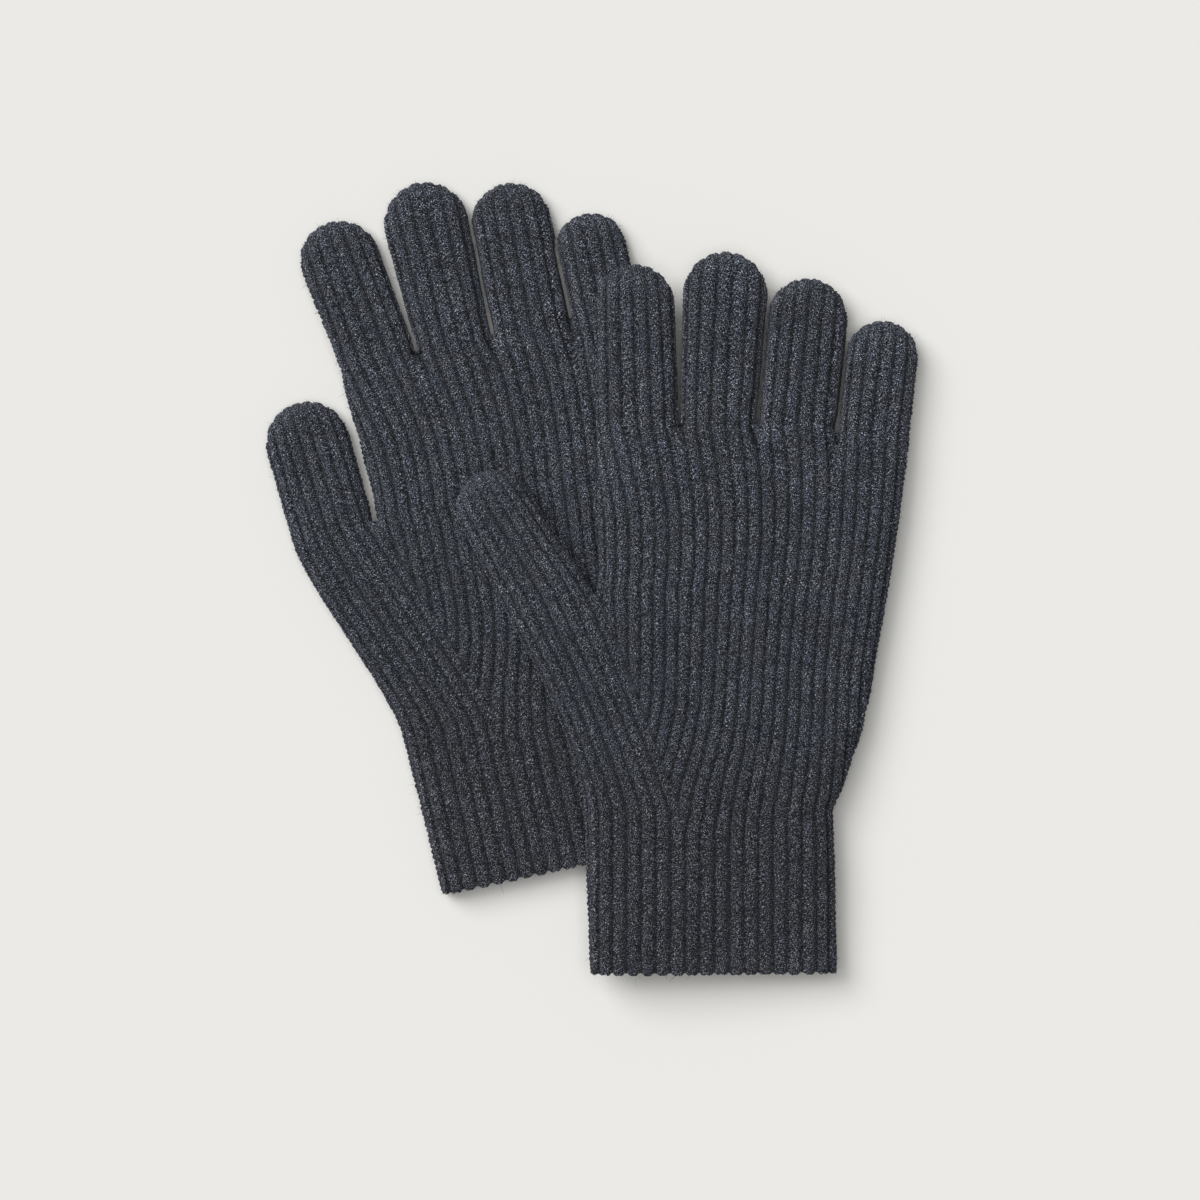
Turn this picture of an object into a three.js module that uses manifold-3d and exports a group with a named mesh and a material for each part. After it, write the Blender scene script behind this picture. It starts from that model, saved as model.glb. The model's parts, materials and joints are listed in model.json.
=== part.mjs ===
// A pair of ribbed, knitted five-finger gloves, lying flat with one glove partly on top of the other.
// Millimetres, +Z up. Each glove is drawn in its own frame: the origin is near the middle of the cuff's
// mouth, +Y points to the fingertips, the thumb is on the -X side, and the glove rests on Z = 0.
// A glove is one run of flat tubes that open into each other, cut where the knit folds.
import * as THREE from 'three';
import { mergeVertices } from 'three/addons/utils/BufferGeometryUtils.js';
import Module from 'manifold-3d';

const wasm = await Module();
wasm.setup();

// ---- Driving dimensions --------------------------------------------------------------------------
const THICKNESS = 11;        // outside thickness of the flattened tubes
const WALL = 2.3;            // thickness of one layer of the knit
const EDGE_ROUND = 3.6;      // rounding of the tubes' long edges
const GAP = 0.3;             // clearance between neighbouring pieces
const FINGER_GAP = 0.4;      // clearance between two digits at their roots

const CUFF_WIDTH = 87.1;     // at the mouth
const CUFF_SHIFT = -0.85;    // from the origin to the mouth's middle
const HEM_LENGTH = 4.5;      // the rolled edge at the mouth
const CUFF_LENGTH = 57;      // mouth to wrist, hem included
const WRIST_WIDTH = 86.7;
const WRIST_SHIFT = -2.4;    // from the origin to the wrist's middle
const PALM_LEFT = -41;       // the palm's straight side under the index finger

const THUMB_FORK = 75.6;     // wrist to the fork between thumb and palm
const THUMB_ROOT = 31;       // width of the thumb where it leaves the gusset
const THUMB_FLARE = -5;      // how much wider its round end is
const THUMB_BASE = 28;       // root to the thumb's middle fold
const GUSSET_FOOT = -12;     // where the gusset's seam meets the wrist

// The fingers from the thumb side: width at the root, how much wider the round end is, root to middle
// fold, and how far the root lies below the index finger's.
const FINGERS = [
  { name: 'index', root: 28.7, flare: -1.2, base: 29, drop: 0 },
  { name: 'middle', root: 26.9, flare: 2.1, base: 31, drop: 0 },
  { name: 'ring', root: 27.8, flare: -0.8, base: 27, drop: 0 },
  { name: 'little', root: 24.9, flare: -1.3, base: 24, drop: 6.5 },
];

// How each glove lies. palm: wrist to finger roots. reach and lean: each digit's length past its root
// and its tilt towards +X in degrees. squeeze and flare: how far a thumb is narrowed by the way it lies.
// x, y, turn: where the origin lies and how the glove is turned.
const REAR = {
  prefix: 'rear', colour: 0x3c424b, palm: 130, x: 0, y: 0, turn: 12.2,
  reach: [50.5, 57, 50, 40.8], lean: [-8, -1.2, 1.7, 1.9],
  thumb: { reach: 47.5, lean: -3.1, squeeze: 3.7, flare: 0.5 },
};
const FRONT = {
  prefix: 'front', colour: 0x40464f, palm: 133.5, x: 51.7, y: -35.9, turn: 0,
  reach: [55, 59.5, 50.5, 42], lean: [-2, 2.6, 5.3, 6.4],
  thumb: { reach: 56, lean: -30.5, squeeze: 0, flare: THUMB_FLARE },
};
const FRONT_SLOPE = 2.8;     // degrees: the upper glove's little-finger side hangs lower

// Shape of the palm's curved sides: lengths of the curves' handles at each end.
const OUTER_SIDE = { wrist: 17, knuckle: 44, flare: 9.2, taper: 5.5 };
const THUMB_SIDE = { wrist: 18, flare: 1, heel: 20 };

const EMBED = 12;            // how far a digit's hollow reaches into the palm's
const EMBED_TAPER = 2;       // how much it narrows on each side by there
const EDGE_STEPS = 2;        // facets in a long edge's rounding
const CURVE_STEPS = 6;       // segments on a curved side
const ARC_STEPS = 10;        // segments on a round end
const BEYOND = 400;          // longer than any glove

const radians = THREE.MathUtils.degToRad;
const UP = new THREE.Vector2(0, 1);

// ---- Solids --------------------------------------------------------------------------------------
function toSolid(geometry) {
  geometry.deleteAttribute('normal');
  geometry.deleteAttribute('uv');
  const welded = mergeVertices(geometry);
  return new wasm.Manifold(new wasm.Mesh({
    numProp: 3,
    vertProperties: new Float32Array(welded.attributes.position.array),
    triVerts: new Uint32Array(welded.index.array),
  }));
}

function toGeometry(solid) {
  const mesh = solid.getMesh();
  const geometry = new THREE.BufferGeometry();
  geometry.setAttribute('position', new THREE.BufferAttribute(mesh.vertProperties, 3));
  geometry.setIndex(new THREE.BufferAttribute(mesh.triVerts, 1));
  return geometry;
}

function joined(solids) {
  return solids.reduce((all, solid) => all.add(solid));
}

// A flat body with rounded edges, over an outline that is set in all round, top and bottom by inset.
function pillow(shape, inset) {
  const round = EDGE_ROUND - inset;
  const geometry = new THREE.ExtrudeGeometry(shape, {
    depth: THICKNESS - 2 * EDGE_ROUND,
    bevelThickness: round,
    bevelSize: round,
    bevelOffset: -EDGE_ROUND,
    bevelSegments: EDGE_STEPS,
    curveSegments: CURVE_STEPS,
  });
  geometry.translate(0, 0, EDGE_ROUND);
  return toSolid(geometry);
}

// Everything between two lines across a direction, at distances near and far along it from a point.
function band(point, direction, near, far) {
  const across = new THREE.Vector2(direction.y, -direction.x);
  const corner = (distance, side) => point.clone()
    .addScaledVector(direction, distance)
    .addScaledVector(across, side * BEYOND);
  const shape = new THREE.Shape([corner(near, -1), corner(near, 1), corner(far, 1), corner(far, -1)]);
  const geometry = new THREE.ExtrudeGeometry(shape, { depth: 3 * THICKNESS, bevelEnabled: false });
  geometry.translate(0, 0, -THICKNESS);
  return toSolid(geometry);
}

// ---- One glove's layout --------------------------------------------------------------------------
// A digit runs from the line between its root corners to its round end. It folds across a direction.
function digit({ name, root: width, flare, base }, left, right, lean, reach) {
  const direction = new THREE.Vector2(Math.sin(radians(lean)), Math.cos(radians(lean)));
  const root = left.clone().lerp(right, 0.5);
  const radius = (width + flare) / 2;
  const centre = root.clone().addScaledVector(direction, reach - radius);
  return { name, base, left, right, root, direction, centre, radius, across: UP };
}

function layout(glove) {
  const wristLeft = new THREE.Vector2(WRIST_SHIFT - WRIST_WIDTH / 2, CUFF_LENGTH);
  const wristRight = new THREE.Vector2(WRIST_SHIFT + WRIST_WIDTH / 2, CUFF_LENGTH);
  const foot = new THREE.Vector2(GUSSET_FOOT, CUFF_LENGTH);
  const fork = new THREE.Vector2(PALM_LEFT, CUFF_LENGTH + THUMB_FORK);
  const tilt = radians(glove.thumb.lean);
  const across = new THREE.Vector2(-Math.cos(tilt), Math.sin(tilt));
  const thumbRoot = THUMB_ROOT - glove.thumb.squeeze;
  const heel = fork.clone().addScaledVector(across, thumbRoot);
  const thumbRight = fork.clone().addScaledVector(across, FINGER_GAP);
  const thumbSizes = { name: 'thumb', root: thumbRoot, flare: glove.thumb.flare, base: THUMB_BASE };
  const thumb = digit(thumbSizes, heel, thumbRight, glove.thumb.lean, glove.thumb.reach);
  thumb.across = thumb.direction;
  let x = PALM_LEFT;
  const fingers = FINGERS.map((finger, i) => {
    const y = CUFF_LENGTH + glove.palm - finger.drop;
    const left = new THREE.Vector2(x + FINGER_GAP / 2, y);
    x += finger.root;
    const right = new THREE.Vector2(x - FINGER_GAP / 2, y);
    return digit(finger, left, right, glove.lean[i], glove.reach[i]);
  });
  return { wristLeft, wristRight, foot, fork, heel, thumb, fingers, palmRight: x };
}

function digitOutline({ left, right, across, direction, centre, radius }) {
  const shape = new THREE.Shape();
  const inwards = right.clone().sub(left).setLength(EMBED_TAPER);
  const start = left.clone().addScaledVector(across, -EMBED).add(inwards);
  const end = right.clone().addScaledVector(across, -EMBED).sub(inwards);
  shape.moveTo(start.x, start.y);
  shape.lineTo(end.x, end.y);
  shape.lineTo(right.x, right.y);
  for (let i = 0; i <= ARC_STEPS; i++) {
    const turn = direction.angle() + Math.PI * (i / ARC_STEPS - 0.5);
    shape.lineTo(centre.x + radius * Math.cos(turn), centre.y + radius * Math.sin(turn));
  }
  shape.lineTo(left.x, left.y);
  shape.closePath();
  return shape;
}

// Cuff, palm and gusset together. The line under each digit's root stops short by half a gap.
function handOutline({ wristLeft, wristRight, fork, heel, thumb, fingers, palmRight }) {
  const little = fingers[fingers.length - 1];
  const lowRoot = little.root.y - GAP / 2;
  const highRoot = fingers[0].root.y - GAP / 2;
  const step = little.left.x - FINGER_GAP / 2;
  const heelEdge = heel.clone().addScaledVector(thumb.direction, -GAP / 2);
  const forkEdge = fork.clone().addScaledVector(thumb.direction, -GAP / 2);
  const heelHandle = heel.clone().addScaledVector(thumb.direction, -THUMB_SIDE.heel);
  const shape = new THREE.Shape();
  shape.moveTo(CUFF_SHIFT - CUFF_WIDTH / 2, 0);
  shape.lineTo(CUFF_SHIFT + CUFF_WIDTH / 2, 0);
  shape.lineTo(wristRight.x, wristRight.y);
  shape.bezierCurveTo(
    wristRight.x + OUTER_SIDE.flare, wristRight.y + OUTER_SIDE.wrist,
    palmRight - OUTER_SIDE.taper, lowRoot - OUTER_SIDE.knuckle,
    palmRight, lowRoot,
  );
  shape.lineTo(step, lowRoot);
  shape.lineTo(step, highRoot);
  shape.lineTo(PALM_LEFT, highRoot);
  shape.lineTo(PALM_LEFT, forkEdge.y);
  shape.lineTo(heelEdge.x, heelEdge.y);
  shape.bezierCurveTo(
    heelHandle.x, heelHandle.y,
    wristLeft.x - THUMB_SIDE.flare, wristLeft.y + THUMB_SIDE.wrist,
    wristLeft.x, wristLeft.y,
  );
  shape.closePath();
  return shape;
}

function mouthOutline() {
  const left = CUFF_SHIFT - CUFF_WIDTH / 2;
  const right = CUFF_SHIFT + CUFF_WIDTH / 2;
  return new THREE.Shape([
    new THREE.Vector2(left, -EMBED), new THREE.Vector2(right, -EMBED),
    new THREE.Vector2(right, EMBED), new THREE.Vector2(left, EMBED),
  ]);
}

// ---- One glove's pieces --------------------------------------------------------------------------
// A fold line is where a piece turns on its neighbour: a point and the direction of the line.
function foldLine(point, across) {
  return { point: [point.x, point.y, THICKNESS], axis: [across.y, -across.x, 0] };
}

function digitPieces(parts) {
  const { name, root, across, base } = parts;
  const outline = digitOutline(parts);
  const skin = pillow(outline, 0);
  const hollow = pillow(outline, WALL);
  const tube = skin.subtract(hollow);
  const fold = root.clone().addScaledVector(across, base);
  return {
    hollow,
    stump: skin.intersect(band(root, across, -EMBED, -GAP / 2)),
    pieces: [
      {
        name: `${name}_base`,
        solid: tube.intersect(band(root, across, GAP / 2, base - GAP / 2)),
        fold: foldLine(root, across),
      },
      {
        name: `${name}_tip`,
        solid: tube.intersect(band(root, across, base + GAP / 2, BEYOND)),
        fold: foldLine(fold, across),
      },
    ],
  };
}

function glovePieces(plan) {
  const { foot, fork, wristLeft, wristRight, thumb, fingers } = plan;
  const digits = [thumb, ...fingers].map(digitPieces);
  const outline = handOutline(plan);
  const skin = joined([pillow(outline, 0), ...digits.map((each) => each.stump)]);
  const hollow = joined([
    pillow(outline, WALL), pillow(mouthOutline(), WALL), ...digits.map((each) => each.hollow),
  ]);
  const hand = skin.subtract(hollow);
  const start = new THREE.Vector2(0, 0);
  const seam = fork.clone().sub(foot).normalize();
  const thumbwards = new THREE.Vector2(-seam.y, seam.x);
  const aboveWrist = hand.intersect(band(start, UP, CUFF_LENGTH + GAP / 2, BEYOND));
  const wrist = wristLeft.clone().lerp(wristRight, 0.5);
  return [
    { name: 'cuff_hem', solid: hand.intersect(band(start, UP, -EMBED, HEM_LENGTH - GAP / 2)) },
    {
      name: 'cuff',
      solid: hand.intersect(band(start, UP, HEM_LENGTH + GAP / 2, CUFF_LENGTH - GAP / 2)),
      fold: foldLine(wrist, UP),
    },
    { name: 'palm', solid: aboveWrist.intersect(band(foot, thumbwards, -BEYOND, -GAP / 2)) },
    { name: 'thumb_gusset', solid: aboveWrist.intersect(band(foot, thumbwards, GAP / 2, BEYOND)) },
    ...digits.flatMap((each) => each.pieces),
  ];
}

// ---- The pair ------------------------------------------------------------------------------------
function gloveGroup(glove) {
  const plan = layout(glove);
  const group = new THREE.Group();
  for (const { name, solid, fold } of glovePieces(plan)) {
    const yarn = new THREE.MeshStandardMaterial({ color: glove.colour, roughness: 0.95, metalness: 0 });
    const mesh = new THREE.Mesh(toGeometry(solid), yarn);
    mesh.name = `${glove.prefix}_${name}`;
    mesh.userData = { fold };
    group.add(mesh);
  }
  group.position.set(glove.x, glove.y, 0);
  group.rotation.z = radians(glove.turn);
  return group;
}

// The upper glove slopes about the line where it bears on the lower glove's outermost corner.
function restOn(upper, lower) {
  lower.updateMatrixWorld(true);
  const bearing = new THREE.Box3().setFromObject(lower, true).max;
  const tilted = new THREE.Group();
  tilted.position.set(bearing.x, 0, bearing.z + GAP);
  tilted.rotation.y = radians(FRONT_SLOPE);
  upper.position.x -= bearing.x;
  tilted.add(upper);
  return tilted;
}

const rear = gloveGroup(REAR);
const front = restOn(gloveGroup(FRONT), rear);
const gloves = new THREE.Group();
gloves.add(rear, front);
gloves.updateMatrixWorld(true);
const extent = new THREE.Box3().setFromObject(gloves, true);
const middle = extent.getCenter(new THREE.Vector3());
gloves.position.set(-middle.x, -middle.y, -extent.min.z);
gloves.updateMatrixWorld(true);

export default gloves;
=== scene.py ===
"""A pair of ribbed, knitted five-finger gloves, laid flat, one partly on top of the other.

Each glove is shaped in its own frame, in millimetres: the origin is near the middle of the cuff's
mouth, +Y points to the fingertips and the thumb is on the -X side. The knit is one closed surface per glove,
cut into the pieces that replace the CAD nodes.
"""
import json
import math

import bpy
import numpy as np
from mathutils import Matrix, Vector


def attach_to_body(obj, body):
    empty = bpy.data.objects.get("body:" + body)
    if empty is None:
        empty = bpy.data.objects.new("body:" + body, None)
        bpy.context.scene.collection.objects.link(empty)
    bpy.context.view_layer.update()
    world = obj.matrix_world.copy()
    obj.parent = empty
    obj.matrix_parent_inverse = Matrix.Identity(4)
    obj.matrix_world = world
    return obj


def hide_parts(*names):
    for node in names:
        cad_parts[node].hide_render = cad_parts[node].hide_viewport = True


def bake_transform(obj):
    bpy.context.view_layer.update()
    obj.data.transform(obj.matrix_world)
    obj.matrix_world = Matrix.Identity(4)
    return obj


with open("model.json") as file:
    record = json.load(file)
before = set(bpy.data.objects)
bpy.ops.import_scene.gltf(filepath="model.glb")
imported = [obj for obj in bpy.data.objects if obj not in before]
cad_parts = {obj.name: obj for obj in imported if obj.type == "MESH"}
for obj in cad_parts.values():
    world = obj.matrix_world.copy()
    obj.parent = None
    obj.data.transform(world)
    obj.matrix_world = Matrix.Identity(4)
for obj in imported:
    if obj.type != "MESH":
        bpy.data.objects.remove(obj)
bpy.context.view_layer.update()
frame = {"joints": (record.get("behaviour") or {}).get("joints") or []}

MM = 0.001

# ---- The gloves' sizes, mm and degrees ------------------------------------------------------------
# They are the CAD's, with small changes where the knit's outline differs from the plain tubes'.
HINGE_HEIGHT = 11.0
CUFF_WIDTH = 87.1
CUFF_SHIFT = -0.85                  # X of the cuff's middle at its mouth
HEM_LENGTH = 4.5
CUFF_LENGTH = 57.0
WRIST_WIDTH = 86.7
WRIST_SHIFT = -2.4                  # X of the cuff's middle at the wrist
PALM_LEFT = -41.0                   # X of the index finger's left side at its root
THUMB_FORK = 75.6                   # height above the wrist where the thumb leaves the palm
GUSSET_FOOT = -12.0                 # X at the wrist where the gusset's seam starts
# Handles of the curves up the palm's two sides, at the wrist and at the top.
OUTER_SIDE = {"wrist": 17.0, "knuckle": 44.0, "flare": 8.6, "taper": 5.2}
THUMB_SIDE = {"wrist": 16.0, "flare": 0.5, "heel": 15.0}
# Each digit: the width of its root, how much wider its tip is, the length from its root to its middle
# fold, and how much lower its root is than the others'.
THUMB = {"name": "thumb", "root": 31.0, "base": 28.0}
FINGERS = [
    {"name": "index", "root": 28.7, "flare": -1.2, "base": 29.0, "drop": 0.0},
    {"name": "middle", "root": 26.9, "flare": 2.1, "base": 31.0, "drop": 0.0},
    {"name": "ring", "root": 27.8, "flare": -0.3, "base": 27.0, "drop": 0.0},
    {"name": "little", "root": 24.9, "flare": -0.4, "base": 24.0, "drop": 6.5},
]
# Each glove: the height of its palm, how far each finger reaches and leans, how far the thumb's fork is
# moved, and what is different about its thumb.
REAR = {
    "name": "rear", "seed": 11, "palm": 130.0,
    "reach": [50.5, 57.0, 50.5, 40.8], "lean": [-7.8, -1.2, 1.5, -0.6], "fork_shift": 2.8,
    "thumb": {"reach": 46.8, "lean": -4.0, "squeeze": 0.9, "flare": -1.0, "slit": 0.9},
}
FRONT = {
    "name": "front", "seed": 23, "palm": 133.5,
    "reach": [55.0, 59.5, 50.7, 42.6], "lean": [-2.0, 3.0, 5.7, 6.2], "fork_shift": 0.0,
    "thumb": {"reach": 56.0, "lean": -30.5, "squeeze": 0.0, "flare": -5.0, "slit": 0.65},
}

# ---- Sizes of the knit, mm ------------------------------------------------------------------------
STEP = np.array([0.58, 0.5, 0.5])   # spacing of the surface's points
SLIT = 0.5                          # half the gap between two digits' roots
APART = 0.3                         # half the gap that is kept between two fingers that lie together
FLUFF = 0.45                        # how far the loose knit stands out past the flat outline
PRESSED = 0.8                       # how much of the relief is lost where two fingers press together
PRESS_REACH = 2.0                   # how far from the border between them that is felt
CUFF_TUCK = 0.7                     # how much less the cuff reaches out on the thumb side
MOUTH_CORNER = [0.8, 1.8]           # how the mouth's corners are cut: across and along the cuff
HEEL_BULGE = 1.1                    # how far the heel of the hand pushes the palm's outer side out
HEEL_HEIGHT = 33.0                  # how far above the wrist it is
HEEL_LENGTH = 14.0                  # how far up and down it is felt
SIDE_BULGE = 0.4                    # how far the whole outer side stands out
SIDE_RISE = 30.0                    # height above the wrist by which it does
INDEX_SHARE = 0.4                   # share of the fork's move that the index finger's root takes part in
FORK_ROOM = [0.6, 8.0]              # how far the palm's side steps back above the fork, and by what height
OUTLINE_WOBBLE = 0.25               # how unevenly the outline runs
THICKNESS_WOBBLE = 0.05             # how unevenly thick the tube is, as a share
ROLL = 7.0                          # width over which a tube's edge rounds off
TOP = 5.2                           # half thickness above and below the middle
BOTTOM = 4.7
MIDDLE = 4.8                        # height of the middle of the tube
WALL = 2.5                          # one layer of knit at the mouth
LIP = 1.3                           # length over which the mouth's lip rounds off
CAVITY_START = 25.0                 # how far up the cuff's hollow starts to close
CAVITY_END = 92.0                   # and where it is closed
HEM_SWELL = 0.35                    # how much thicker the hem is
RIB = 5.04                          # pitch of the ribs
COURSE = 1.95                       # pitch of the rows of stitches
GROOVE = 1.65                       # depth between two ribs
STITCH = 0.6                        # depth between two stitches
CHEVRON = 1.0                       # rows that a stitch's legs drop from the rib's crest to its edge
TIP_FADE = 0.4                      # share of the grooves' depth that is lost at the round tips
CREST_SPLIT = 0.2                   # depth of the line between a stitch's two legs, and its width in ribs
LOOSENESS = 0.1                     # how much one stitch stands out past the next
RIB_WANDER = 0.05                   # how far a rib strays sideways, in ribs
RIB_JITTER = 0.02                   # the same within a few stitches
ROW_WANDER = 0.35                   # how far a row strays, in rows
# The palm's ribs from its thumb side to its outer side: how many there are at each height above the
# wrist, and how far the count at the outer side has grown there.
PALM_RIBS = [(0.0, 10.5), (30.0, 17.4), (41.0, 19.4), (75.6, 22.6), (100.0, 22.9), (133.0, 21.49)]
OUTER_RIBS = [(0.0, 0.0), (30.0, 2.1), (41.0, 2.7), (75.6, 2.95), (100.0, 3.2), (133.0, 3.5)]
CREASE_LENGTH = 17.0                # folds that run down from between the fingers
CREASE_WIDTH = 2.2
CREASE_DEPTH = 0.5                  # share of the thickness that is lost in them
SEAM_WIDTH = 1.5                    # the line where the gusset's ribs meet the palm's
SEAM_DEPTH = 0.13                   # share of the thickness that is lost in it
FIBRES = 3600                       # loose fibres that stand out of each glove
FIBRE_LENGTH = 0.55                 # their usual length
FIBRE_LIMITS = [0.4, 6.0]           # their least and greatest length
FIBRE_RADIUS = 0.045
FIBRE_SUNK = 0.3                    # how deep they start inside the knit
BEARING = 25.0                      # X in the row frame up to which the upper glove has the lower under it
BEARING_SLOPE = 0.055               # how steeply the upper glove sinks from there towards its thumb
EDGE_SINK = 3.4                     # how far it sinks past the lower glove's edge
CUFF_SINK = 1.6                     # how far its cuff sinks past the lower glove's
TIP_SINK = 1.0                      # how far the tips that hang free sink
REST_SINK = 0.6                     # how far the whole glove sinks into the lower one's knit
WRIST_FOLD = 16.0                   # length of the cuff below the wrist over which a turned-up cuff would bend; the point is worked out but not used


# ---- Plain geometry in the glove's plane ----------------------------------------------------------
def vector(x, y):
    return np.array([x, y], float)


def bezier(a, b, c, d, steps=24):
    t = np.linspace(0, 1, steps + 1)[:, None]
    return (1 - t) ** 3 * a + 3 * (1 - t) ** 2 * t * b + 3 * (1 - t) * t ** 2 * c + t ** 3 * d


def smoothstep(t):
    t = np.clip(t, 0, 1)
    return t * t * (3 - 2 * t)


def make_digit(sizes, left, right, lean, reach):
    tilt = math.radians(lean)
    direction = vector(math.sin(tilt), math.cos(tilt))
    side = vector(direction[1], -direction[0])
    root = (left + right) / 2
    radius = (sizes["root"] + sizes["flare"]) / 2
    centre = root + direction * (reach - radius)
    return {
        "name": sizes["name"], "base": sizes["base"], "width": sizes["root"], "left": left, "right": right,
        "root": root, "direction": direction, "side": side, "centre": centre, "radius": radius,
        "shaft": reach - radius, "lean": tilt, "across": vector(0, 1),
    }


def make_plan(glove):
    """Where the parts of one glove lie."""
    wrist_left = vector(WRIST_SHIFT - WRIST_WIDTH / 2 + CUFF_TUCK, CUFF_LENGTH)
    wrist_right = vector(WRIST_SHIFT + WRIST_WIDTH / 2, CUFF_LENGTH)
    foot = vector(GUSSET_FOOT, CUFF_LENGTH)
    fork = vector(PALM_LEFT + glove["fork_shift"], CUFF_LENGTH + THUMB_FORK)
    thumb_sizes = {**THUMB, **glove["thumb"]}
    thumb_sizes["root"] -= thumb_sizes["squeeze"]
    tilt = math.radians(thumb_sizes["lean"])
    across = vector(-math.cos(tilt), math.sin(tilt))
    heel = fork + across * thumb_sizes["root"]
    slit_side = fork + across * thumb_sizes["slit"]
    thumb = make_digit(thumb_sizes, heel, slit_side, thumb_sizes["lean"], thumb_sizes["reach"])
    thumb["across"] = thumb["direction"]
    fingers = []
    x = PALM_LEFT
    for sizes, lean, reach in zip(FINGERS, glove["lean"], glove["reach"]):
        y = CUFF_LENGTH + glove["palm"] - sizes["drop"]
        left = vector(x + SLIT, y)
        x += sizes["root"]
        fingers.append(make_digit(sizes, left, vector(x - SLIT, y), lean, reach))
    fingers[0]["left"][0] = PALM_LEFT + glove["fork_shift"] * INDEX_SHARE
    fingers[-1]["right"][0] = x
    heel_curve = bezier(
        wrist_left, wrist_left + vector(-THUMB_SIDE["flare"], THUMB_SIDE["wrist"]),
        heel - thumb["direction"] * THUMB_SIDE["heel"], heel,
    )
    low = fingers[-1]["root"][1]
    outer_curve = bezier(
        wrist_right, wrist_right + vector(OUTER_SIDE["flare"], OUTER_SIDE["wrist"]),
        vector(x - OUTER_SIDE["taper"], low - OUTER_SIDE["knuckle"]), vector(x, low),
    )
    climb = outer_curve[:, 1] - CUFF_LENGTH
    heel_bulge = HEEL_BULGE * np.exp(-((climb - HEEL_HEIGHT) / HEEL_LENGTH) ** 2)
    outer_curve[:, 0] += heel_bulge + SIDE_BULGE * smoothstep(climb / SIDE_RISE)
    outer_curve[-1, 0] = x
    seam = (fork - foot) / np.linalg.norm(fork - foot)
    return {
        "glove": glove, "wrist_left": wrist_left, "wrist_right": wrist_right, "foot": foot, "fork": fork,
        "heel": heel, "thumb": thumb, "fingers": fingers, "digits": [thumb, *fingers], "seam": seam,
        "heel_curve": heel_curve, "outer_curve": outer_curve,
    }


def digit_outline(digit, steps=28):
    """From the right corner of the root, round the tip, to the left corner."""
    turns = np.linspace(0, math.pi, steps + 1)[:, None]
    arc = digit["centre"] + digit["radius"] * (
        np.cos(turns) * digit["side"] + np.sin(turns) * digit["direction"]
    )
    return np.vstack([digit["right"], arc, digit["left"]])


def glove_outline(plan):
    """The whole glove's outline, counterclockwise, carried on below the mouth."""
    below = 12.0
    left, right = CUFF_SHIFT - CUFF_WIDTH / 2 + CUFF_TUCK, CUFF_SHIFT + CUFF_WIDTH / 2
    corner_width, corner_height = MOUTH_CORNER
    inner_left, inner_right = left + corner_width, right - corner_width
    parts = [np.array([[inner_left, -below], [inner_right, -below], [inner_right, 0.0]])]
    parts += [np.array([[right, corner_height]]), plan["outer_curve"]]
    parts += [digit_outline(finger) for finger in reversed(plan["fingers"])]
    parts += [np.array([plan["fork"] + FORK_ROOM, plan["fork"]])]
    parts += [digit_outline(plan["thumb"]), plan["heel_curve"][::-1]]
    parts += [np.array([[left, corner_height], [inner_left, 0.0]])]
    return np.vstack(parts)


def signed_distance(points, outline):
    """Distance to the outline, positive inside."""
    near = np.full(len(points), 1e9)
    inside = np.zeros(len(points), bool)
    x, y = points[:, 0], points[:, 1]
    for a, b in zip(outline, np.roll(outline, -1, axis=0)):
        edge = b - a
        length = edge @ edge
        if length < 1e-12:
            continue
        t = np.clip(((x - a[0]) * edge[0] + (y - a[1]) * edge[1]) / length, 0, 1)
        near = np.minimum(near, (x - a[0] - t * edge[0]) ** 2 + (y - a[1] - t * edge[1]) ** 2)
        if a[1] != b[1]:
            crosses = (y < a[1]) != (y < b[1])
            inside ^= crosses & (x < a[0] + (y - a[1]) * edge[0] / edge[1])
    return np.where(inside, 1, -1) * np.sqrt(near)


class Noise:
    """Smooth noise in -1 to 1 over a plane, from a seeded table of random values."""

    def __init__(self, seed):
        self.table = np.random.default_rng(seed).uniform(-1, 1, (256, 256))

    def __call__(self, x, y):
        column, row = np.floor(x).astype(int), np.floor(y).astype(int)
        u, v = smoothstep(x - column), smoothstep(y - row)
        corner = [[self.table[(column + i) % 256, (row + j) % 256] for j in (0, 1)] for i in (0, 1)]
        low = corner[0][0] * (1 - u) + corner[1][0] * u
        high = corner[0][1] * (1 - u) + corner[1][1] * u
        return low * (1 - v) + high * v


# ---- The glove as a field, and its surface --------------------------------------------------------
def seam_place(plan, x, y):
    """How far along the gusset's seam from its foot, and how far to the palm's side of it."""
    foot, seam = plan["foot"], plan["seam"]
    along = (x - foot[0]) * seam[0] + (y - foot[1]) * seam[1]
    across = (x - foot[0]) * seam[1] - (y - foot[1]) * seam[0]
    return along, across


def thickness_factor(plan, x, y):
    """1 where the tube is full, less in the folds below the fingers and along the gusset's seam."""
    loss = np.zeros_like(x)
    for left, right in zip(plan["fingers"], plan["fingers"][1:]):
        top = min(left["root"][1], right["root"][1])
        descent = (top - y) / CREASE_LENGTH
        fade = np.where(descent < 0, 1, 1 - smoothstep(descent))
        middle = (left["right"][0] + right["left"][0]) / 2
        loss += CREASE_DEPTH * fade * np.exp(-((x - middle) / CREASE_WIDTH) ** 2) * (descent > -0.5)
    along, across = seam_place(plan, x, y)
    length = np.linalg.norm(plan["fork"] - plan["foot"])
    fade = smoothstep((along + 4) / 12) * (1 - smoothstep((along - length) / 6))
    loss += SEAM_DEPTH * fade * np.exp(-(across / SEAM_WIDTH) ** 2)
    return 1 - loss


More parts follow.
